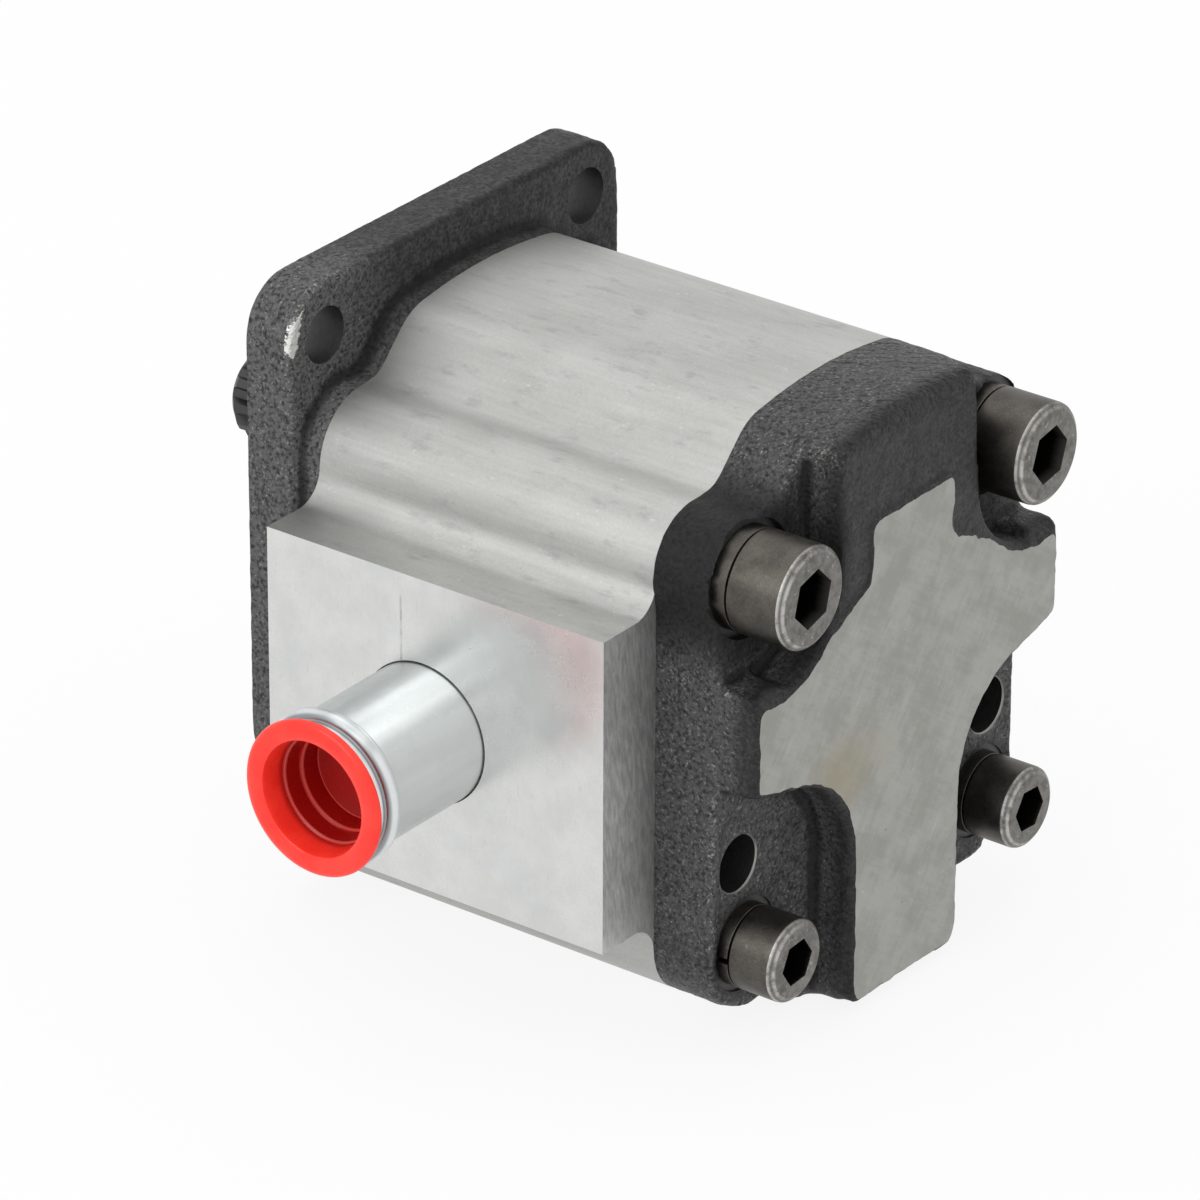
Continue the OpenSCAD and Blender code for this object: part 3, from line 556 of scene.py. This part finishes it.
# Sand cores leave the ragged edge of the pad above and the floors of the lower recesses.
rough_edge = [(45, -2.6), (37.6, -2.1), (33.1, -0.9), (28, -0.4), (23.6, 1.2), (20.5, 2.9), (17.3, 4.1),
              (13.4, 6.3), (10.2, 7.4), (9.7, 10), (9.7, 14), (45, 14)]
low_floor = [(16.5, -56), (37.6, -56), (37.6, -27.5), (37.0, -24.8), (35.4, -22.6), (33, -21.9), (26.7, -24.6),
             (20.5, -27.5), (16.5, -31)]
core_shapes = Cutters()
for side in (-1, 1):
    for outline, floor_y in ((rough_edge, -91.85), (low_floor, -84.3)):
        core = bmesh.new()
        foot = core.faces.new([core.verts.new((side * x / 1000, -0.11, z / 1000)) for x, z in outline])
        sheet = bmesh.ops.extrude_face_region(core, geom=[foot])["geom"]
        bmesh.ops.translate(core, verts=[g for g in sheet if isinstance(g, bmesh.types.BMVert)],
                            vec=(0, 0.11 + floor_y / 1000, 0))
        bmesh.ops.recalc_face_normals(core, faces=core.faces)
        core_shapes.take(0, core)
core_shapes.machine(cover)
cover_ridges = cast(cover, 0.6, 18, 0.2)
cover_cutters.machine(cover)
mark_ridges(cover, *cover_ridges)
finished(cover, "rear_cover_casting", "housing", "rear_cover",
         [sand_cast("sand_cast_cover", 1.08, 0.16, ("y", -90.2, -86.5), ripple=(27, 31),
                    worn_and_glinting=(-20.5, -89.5, 30.5, 6),
                    shaded_pockets=((screw_x, upper_screw_z, 17), (screw_x, lower_screw_z, 10))),
          milled_iron("milled_cover", stain=(-16.5, -21, 9)), bore_finish])

flange = joined("mounting_flange")
stock(flange, 1, 0, raw)
stock(flange, -1, joint_y, raw)
pilot_r, pilot_y = 25, 6
front, back = 2.9, -14.9
rod(flange, 24.9, back, pilot_y + front)
rod(flange, 26.4, -5, pilot_y + front)
rod(flange, chamber_r, back, -5, 0, driven_z)
block(flange, (-chamber_r, back, driven_z), (chamber_r, -5, 0))
flange_cutters = Cutters()
flange_cutters.add(1, block, (-past, -40, -80), (past, joint_y, past))
flange_cutters.add(1, block, (-past, pilot_y, -80), (past, 30, past))
flange_cutters.add(1, turned, [(pilot_r, 0), (70, 0), (70, 20), (23, 20), (23, pilot_y), (pilot_r - 1, pilot_y),
                               (pilot_r, pilot_y - 1)])
flange_cutters.add(2, turned, [(0, -20), (10.4, -20), (10.4, joint_y), (9.6, -11.2), (9.6, -2.8), (15.03, -2.8),
                               (15.03, 4.2), (15.8, 4.2), (15.8, 5.43), (15.03, 5.43), (15.4, pilot_y),
                               (15.4, 20), (0, 20)])
for side in (-1, 1):
    rod(flange, 5.5, -7.9, front, side * bolt_at, bolt_at)
    rod(flange, 5.5, back, front, side * bolt_at, -bolt_at)
    rod(flange, 5.2, back, front, side * screw_x, upper_screw_z)
    rod(flange, 4.2, back, front, side * screw_x, lower_screw_z)
    rod(flange, 3.6, back, -5, side * dowel_x, dowel_z)
    for hole_r, x, height in ((bolt_r, bolt_at, -bolt_at), (bolt_r, bolt_at, bolt_at),
                              (5.06, screw_x, upper_screw_z), (4.06, screw_x, lower_screw_z)):
        flange_cutters.add(2, rod, hole_r, -30, 10, side * x, height)
    flange_cutters.add(2, rod, dowel_r, -30, -5.5, side * dowel_x, dowel_z)
groove = joined("front_body_seal")
stock(groove, -1, joint_y, 2)
flange_cutters.take(2, groove)
flange_ridges = cast(flange, 0.6, 20, 0.18)
flange_cutters.machine(flange)
mark_ridges(flange, *flange_ridges)
finished(flange, "mounting_flange_casting", "housing", "mounting_flange",
         [sand_cast("sand_cast_flange", 1.55, 0.07, ("x", -12, -34), crescent=(-bolt_at, bolt_at, 7.6, 2.4)),
          milled_iron("milled_flange"), bore_finish])


# Gears and their shafts: case-hardened steel, hobbed and ground, each in one piece with its
# journals. The drive shaft ends in a hobbed spline of twelve teeth.
def ground_steel(name, light, rough):
    """Ground steel, with fine rings round the shaft and a few darker patches."""
    steel = Finish(name, Metallic=1.0, IOR=1.5)
    rings = steel.grain(5.0, 3, 0.6, stretch=(0.15, 1.6, 0.15))
    patches = steel.grain(0.35, 5, 0.62)
    colour = steel.tint(rings * 0.6 + patches * 0.4, (0.55 * light, 0.55 * light, 0.56 * light),
                        (1.1 * light, 1.1 * light, 1.1 * light))
    return steel.feed(Base_Color=colour, Roughness=rough + 0.15 * patches, Normal=steel.relief(rings, 0.004))


spline_steel = ground_steel("hobbed_spline", 0.09, 0.38)
gear_steel = ground_steel("ground_steel", 0.46, 0.24)
spline_y = 11.5
for node, body in (("drive_gear_shaft", "drive_shaft"), ("driven_gear_shaft", "driven_shaft")):
    shaft = joined(node)
    for face in shaft.faces:
        face.material_index = int(face.calc_center_median().y * 1000 > spline_y)
    finished(shaft, node + "_ground", body, node, [gear_steel, spline_steel], edge=0.15)


# Bearing blocks: machined aluminium, one on each side of the gears, with two plain bronze
# bushes pressed into each. They float between the gears and the castings.
def machined(name, low, high, rough, relief=0.01, metallic=1.0):
    """A plain machined or moulded surface, with fine marks from low to high."""
    metal = Finish(name, Metallic=metallic, IOR=1.5)
    marks = metal.grain(1.6, 3, 0.6, stretch=(0.3, 1.5, 0.3))
    return metal.feed(Base_Color=metal.tint(marks.between(0.3, 0.7), low, high), Roughness=rough + 0.12 * marks,
                      Normal=metal.relief(marks, relief))


def coat(finish, *nodes):
    """Gives CAD nodes their finish."""
    for node in nodes:
        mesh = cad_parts[node].data
        mesh.materials.clear()
        mesh.materials.append(finish)


coat(machined("machined_block", (0.55, 0.55, 0.54), (0.72, 0.72, 0.70), 0.28),
     "front_bearing_block", "rear_bearing_block")
coat(machined("bearing_bronze", (0.44, 0.27, 0.11), (0.56, 0.37, 0.17), 0.3), "front_bushes", "rear_bushes")


# Seals: black rubber rings in the joint faces, pressure seals on the blocks with stiff nylon
# strips inside them, and the lip seal of the shaft with its garter spring.
coat(machined("moulded_rubber", (0.017, 0.017, 0.018), (0.030, 0.030, 0.031), 0.5, relief=0.02, metallic=0.0),
     "front_body_seal", "rear_body_seal", "front_pressure_seal", "rear_pressure_seal", "shaft_seal")
coat(machined("moulded_nylon", (0.62, 0.58, 0.48), (0.74, 0.70, 0.60), 0.45, metallic=0.0),
     "front_backup_strips", "rear_backup_strips")
coat(machined("spring_wire", (0.35, 0.35, 0.36), (0.55, 0.55, 0.56), 0.25), "seal_spring")


# Circlip and dowels: the circlip is stamped from spring steel and phosphated, and the dowels are
# ground pins that line the three castings up.
coat(machined("phosphated_spring_steel", (0.10, 0.10, 0.105), (0.18, 0.18, 0.185), 0.4), "shaft_seal_circlip")
coat(machined("ground_pin", (0.42, 0.42, 0.43), (0.58, 0.58, 0.58), 0.2), "front_dowels", "rear_dowels")


# Cap screws: four socket head screws of blacked steel, M10 above and M8 below. The heads are
# turned smooth, with a broad bevel round the face and a broached hexagon socket.
def broached():
    """The wall of a broached socket: scraped light at the entry, with painted shade making it dark further in."""
    wall = Finish("broached_socket", Metallic=1.0, IOR=1.5)
    scrapes = wall.grain(1.2, 3, 0.6, stretch=(1.5, 0.4, 1.5))
    # Painted shade: the wall darkens with depth, lighter and scraped at the entry.
    unshaded_mouth = (wall.y + scrapes).between(-92.6, -94.6)
    colour = wall.tint(unshaded_mouth, (0.022, 0.021, 0.019), (0.26, 0.25, 0.235))
    return wall.feed(Base_Color=colour, Roughness=0.4 + 0.1 * scrapes)


def blacked(name, screw_z=0, head=8, pitch=1.0, threaded_from=100, worn_to=-100):
    """Blacked steel gone brown grey. On a screw at screw_z with a head of that radius it is bright with wear,
    and with painted highlights on the bevel's lit side, up to the height worn_to, and threaded from threaded_from on."""
    steel = Finish(name, Metallic=1.0, IOR=1.5)
    clouds = steel.grain(0.28, 5, 0.65)
    fine = steel.grain(3.2, 3, 0.6)
    nicks = steel.grain(1.3, 3, 0.75, shift=(2, 9, 4)).between(0.60, 0.74)
    colour = steel.tint((clouds * 0.6 + fine * 0.4).between(0.32, 0.68), (0.072, 0.067, 0.060), (0.130, 0.122, 0.108))
    out = steel.maths("ABSOLUTE", steel.x) - screw_x
    off = (out ** 2 + (steel.z - screw_z) ** 2) ** 0.5
    lit_side = (steel.x - screw_x * ((steel.x > 0) * 2 - 1)).between(0.5 * head, -head)
    patches = steel.grain(0.6, 4, 0.65, shift=(7, 1, 2)).between(0.32, 0.62)
    # Painted highlights: thin bright bands round the head's bevel, strongest on its lit side.
    bevel = off.between(head - 1.15, head - 0.85) * off.between(head - 0.4, head - 0.75)
    bevel_highlights = (bevel + off.between(head - 0.3, head - 0.1)) * (0.15 + 0.85 * lit_side) * (0.3 + 0.7 * patches)
    worn_and_glinting = (steel.y < worn_to) * (0.06 + 0.20 * patches + 0.8 * bevel_highlights)
    colour = steel.tint(worn_and_glinting, colour, (0.50, 0.49, 0.465))
    colour = steel.tint(nicks * (0.10 + 0.6 * (steel.y < worn_to)), colour, (0.58, 0.56, 0.53))
    turn = steel.maths("ARCTAN2", out, steel.z - screw_z) / (2 * math.pi)
    winding = steel.y / pitch + turn
    crest = steel.maths("PINGPONG", winding, 0.5) * 2
    thread = crest * (steel.y > threaded_from)
    normal = steel.relief(thread, 0.6 * pitch, steel.relief(fine, 0.008))
    return steel.feed(Base_Color=colour, Roughness=0.33 + 0.2 * clouds, Normal=normal)


def cap_screws(node, diameter, pitch, head, seat, height, hex_turns):
    """A pair of cap screws: turned blanks, each with a socket broached into its head. The
    hexagons stand at hex_turns, in degrees."""
    pair = bmesh.new()
    face = seat - diameter
    shank = diameter / 2
    tip = joint_y + thread_reach
    rim = [(-1.1, 0), (-0.8, 0.12), (-0.65, 0.3), (-0.3, 0.5), (-0.08, 0.8), (0, 1.2)]
    corner = 0.4 * diameter / math.cos(math.pi / 6)
    overrun = 2
    sockets = Cutters()
    for side, turn in zip((-1, 1), hex_turns):
        turned(pair, [(0, face), *[(head + r, face + y) for r, y in rim], (head, seat - 0.35), (head - 0.35, seat),
                      (shank, seat), (shank, tip - 1), (shank - 1, tip), (0, tip)], side * screw_x, height)
        hexagon = bmesh.new()
        middle = (side * screw_x / 1000, (face + (shank - overrun) / 2) / 1000, height / 1000)
        bmesh.ops.create_cone(
            hexagon, cap_ends=True, segments=6, radius1=corner / 1000, radius2=corner / 1000,
            depth=(shank + overrun) / 1000, matrix=Matrix.Translation(middle)
            @ Matrix.Rotation(math.radians(turn), 4, "Y") @ Matrix.Rotation(math.pi / 2, 4, "X"))
        sockets.take(1, hexagon)
    sockets.machine(pair)
    steel = blacked(node + "_blacked", height, head, pitch, threaded_from=-26, worn_to=face + 1)
    finished(pair, node + "_turned", "housing", node, [steel, socket_steel], edge=0.07)


thread_reach = 10.5
upper_head_r, lower_head_r = 8.0, 6.5
upper_head_y, lower_head_y = upper_seat_y - 2.5, lower_seat_y - 2.0
socket_steel = broached()
cap_screws("upper_cap_screws", 10, 1.5, upper_head_r, upper_head_y, upper_screw_z, (15, 20))
cap_screws("lower_cap_screws", 8, 1.25, lower_head_r, lower_head_y, lower_screw_z, (26, 34))


# Lock washers: rings of square spring steel wire, each cut at a slant and sprung a little, under
# the heads of the screws.
def lock_washers(node, diameter, head, low, high, height, cut_at):
    """A pair of washers from low to high, whose wire starts at cut_at, in degrees, and climbs."""
    pair = bmesh.new()
    rise, steps = 0.1, 72
    inner, outer = diameter / 2 + 0.2, head - 0.02
    corners = [(inner, low + rise), (outer, low + rise), (outer, high), (inner, high)]
    for side, start in zip((-1, 1), cut_at):
        centre = (side * screw_x / 1000, 0, height / 1000)
        ring = [pair.verts.new(((side * screw_x + r) / 1000, y / 1000, height / 1000)) for r, y in corners]
        first = pair.faces.new(ring)
        bmesh.ops.rotate(pair, verts=ring, cent=centre, matrix=Matrix.Rotation(math.radians(start), 3, "Y"))
        bmesh.ops.spin(pair, geom=[first], cent=centre, axis=(0, 1, 0), dvec=(0, -rise / steps / 1000, 0),
                       angle=math.radians(352), steps=steps)
    bmesh.ops.recalc_face_normals(pair, faces=pair.faces)
    finished(pair, node + "_sprung", "housing", node, [washer_steel], edge=0.12)


washer_steel = blacked("blacked_spring_wire")
lock_washers("upper_lock_washers", 10, upper_head_r, upper_head_y, upper_seat_y, upper_screw_z, (20, -30))
lock_washers("lower_lock_washers", 8, lower_head_r, lower_head_y, lower_seat_y, lower_screw_z, (185, 40))


# Suction tube: drawn steel tube, rolled out to a bead near its end, zinc plated and pressed
# into the port.
def zinc_plate():
    """Bright zinc, frosted a little, with faint drawing lines mixed with painted reflection bands, a painted
    highlight band at mid height, and a dark line of painted shade just behind the tube's end.
    """
    zinc = Finish("bright_zinc", Metallic=1.0, IOR=1.5)
    frost = zinc.grain(0.22, 5, 0.66)
    drawing_and_reflection_bands = zinc.grain(0.24, 2, 0.5, stretch=(0.05, 1, 1), shift=(0, 2.3, 1.1))
    scratches = zinc.grain(1.2, 3, 0.7, stretch=(0.5, 1.8, 1.8), turn=(0, 0.5, 0.4)).between(0.62, 0.70)
    fine = zinc.grain(5.0, 2, 0.5)
    # Lengthwise bands: faint drawing lines, partly painted reflections.
    colour = zinc.tint((frost * 0.3 + drawing_and_reflection_bands * 0.7).between(0.40, 0.60), (0.57, 0.60, 0.605), (0.70, 0.73, 0.735))
    # Painted highlight: a bright band along the tube at mid height.
    colour = zinc.tint(zinc.z.between(-5, -11) * zinc.z.between(-26, -20) * 0.55, colour, (0.88, 0.90, 0.90))
    colour = zinc.tint(scratches * 0.4, colour, (0.90, 0.92, 0.92))
    # Painted shade: the groove line is a dark line in the crease just before the bead.
    groove = zinc.x.between(-74.6, -74.2) * zinc.x.between(-73.3, -73.7)
    colour = zinc.tint(groove * 0.8, colour, (0.20, 0.22, 0.235))
    return zinc.feed(Base_Color=colour, Roughness=0.30 + 0.12 * frost, Normal=zinc.relief(fine, 0.004))


port_place = Matrix.Translation((0, port_y / 1000, port_z / 1000)) @ Matrix.Rotation(-math.pi / 2, 4, "Z")
tube_r, tube_bore, tube_foot = 11.2, 9.7, -39.0
bead_r, bead_at = 1.4, -72.5
bead = [(11 + bead_r * math.cos(math.radians(a)), bead_at + bead_r * math.sin(math.radians(a)))
        for a in range(-78, 79, 12)]
tube = bmesh.new()
turned(tube, [(tube_bore, -75.4), (9.85, -75.75), (10.1, -75.9), (10.5, -75.9), (10.85, -75.6), (11.05, -75.0),
              (11.1, -74.1), *bead, (tube_r, -70.9), (tube_r, tube_foot), (tube_bore, tube_foot)], sides=128)
bmesh.ops.transform(tube, matrix=port_place, verts=tube.verts)
finished(tube, "suction_tube_drawn", "housing", "suction_tube", [zinc_plate()])


# Suction plug: glossy red polyethylene, moulded as a stepped hollow cap with a flat rim. It is
# pushed into the tube by hand, and pulled out before the hose goes on.
def red_moulding():
    """Glossy red, with painted shade darkening it inside the cap, and a thin pale painted highlight at each step."""
    red = Finish("red_polyethylene", IOR=1.5, Specular_IOR_Level=0.35)
    flow = red.grain(0.25, 3, 0.5)
    fine = red.grain(2.5, 2, 0.5)
    colour = red.tint(flow.between(0.3, 0.7), (0.92, 0.032, 0.020), (1.0, 0.046, 0.030))
    # Painted shade: the red darkens deep inside the cap.
    colour = red.tint(red.x.between(-74.4, -72.5) * 0.95, colour, (0.30, 0.004, 0.003))
    # Painted highlights: a thin pale line at each step inside.
    for step in (-72.72, -69.52, -66.38):
        colour = red.tint((red.x > step - 0.03) * (red.x < step + 0.03) * 0.7, colour, (0.80, 0.07, 0.04))
    return red.feed(Base_Color=colour, Roughness=0.22 + 0.1 * flow, Normal=red.relief(fine, 0.006))


plug = bmesh.new()
turned(plug, [(0, -66.3), (7.2, -66.3), (7.45, -66.4), (7.6, -69.4), (7.75, -69.5), (8.05, -69.55),
              (8.2, -69.7), (8.3, -72.6), (8.45, -72.7), (8.6, -72.75), (8.75, -72.9), (8.9, -76.4),
              (9.15, -77.05), (9.4, -77.22), (9.9, -77.34), (10.6, -77.4), (11.1, -77.39), (11.6, -77.3),
              (12.0, -77.12), (12.22, -76.85), (12.3, -76.5), (12.15, -76.05), (11.9, -75.93),
              (9.55, -75.93), (9.55, -72.9), (9.4, -72.7), (8.9, -72.45), (8.85, -69.7), (8.7, -69.5),
              (8.2, -69.25), (8.15, -66.6), (7.9, -66.1), (7.3, -65.4), (6.9, -65.1), (0, -65.1)], sides=128)
bmesh.ops.transform(plug, matrix=port_place, verts=plug.verts)
finished(plug, "suction_plug_moulded", "plug", "suction_plug", [red_moulding()])


# Studio: a plain pale floor under the pump and even white light, brighter from the suction side.
# Light paths keep the floor and the background white to the eye and in reflections.
def seen_directly(finish):
    """1 for rays from the camera, off gloss and through glass, and 0 for light on the object."""
    rays = [finish.node("ShaderNodeLightPath", output=name)
            for name in ("Is Camera Ray", "Is Glossy Ray", "Is Transmission Ray")]
    return (rays[0] + rays[1] + rays[2]) > 0.5


floor_z = cad_low[2] - 0.0001
floor_mesh = bmesh.new()
bmesh.ops.create_grid(floor_mesh, x_segments=1, y_segments=1, size=6, matrix=Matrix.Translation((0, 0, floor_z)))
floor_data = bpy.data.meshes.new("studio_floor")
floor_mesh.to_mesh(floor_data)
floor_mesh.free()
studio_floor = bpy.data.objects.new("studio_floor", floor_data)
bpy.context.collection.objects.link(studio_floor)
paper = Finish("white_paper", Roughness=0.9, Base_Color=(0.8, 0.8, 0.8, 1), Specular_IOR_Level=0.1)
seen = seen_directly(paper)
glow = paper.node("ShaderNodeEmission", values={"Color": (1, 1, 1, 1), "Strength": 1.0})
mixed = paper.node("ShaderNodeMixShader", values={
    0: seen * 0.88, 1: Reading(paper, paper.shader.outputs[0]), 2: glow})
paper_tree = paper.material.node_tree
paper_tree.links.new(mixed.socket, paper_tree.nodes["Material Output"].inputs["Surface"])
floor_data.materials.append(paper.material)


class Room(Finish):
    """The white room round the pump, as a world: lit softly, and white where it is seen."""

    def __init__(self, name, strength):
        self.material = bpy.data.worlds.new(name)
        self.material.use_nodes = True
        light = self.material.node_tree.nodes["Background"]
        light.inputs["Color"].default_value = (1, 1, 1, 1)
        light.inputs["Strength"].default_value = strength
        white = self.node("ShaderNodeBackground", values={"Color": (1, 1, 1, 1), "Strength": 1.0})
        mixed = self.node("ShaderNodeMixShader", values={
            0: seen_directly(self), 1: Reading(self, light.outputs[0]), 2: white})
        tree = self.material.node_tree
        tree.links.new(mixed.socket, tree.nodes["World Output"].inputs["Surface"])


bpy.context.scene.world = Room("white_room", 1.0).material


def soft_box(name, place, target, size, watts):
    """A square studio lamp with a soft edge, which faces the target."""
    lamp = bpy.data.lights.new(name, "AREA")
    lamp.size = size
    lamp.energy = watts
    holder = bpy.data.objects.new(name, lamp)
    turn = (Vector(target) - Vector(place)).to_track_quat("-Z", "Y")
    holder.matrix_world = Matrix.Translation(place) @ turn.to_matrix().to_4x4()
    bpy.context.collection.objects.link(holder)


soft_box("suction_side_lamp", (-1.1, 0.1, 0.7), (0, -0.04, 0), 0.8, 4.2)
soft_box("overhead_lamp", (0.1, 0.2, 1.2), (0, -0.04, 0), 0.9, 1.6)

bpy.context.scene.view_settings.view_transform = "Standard"
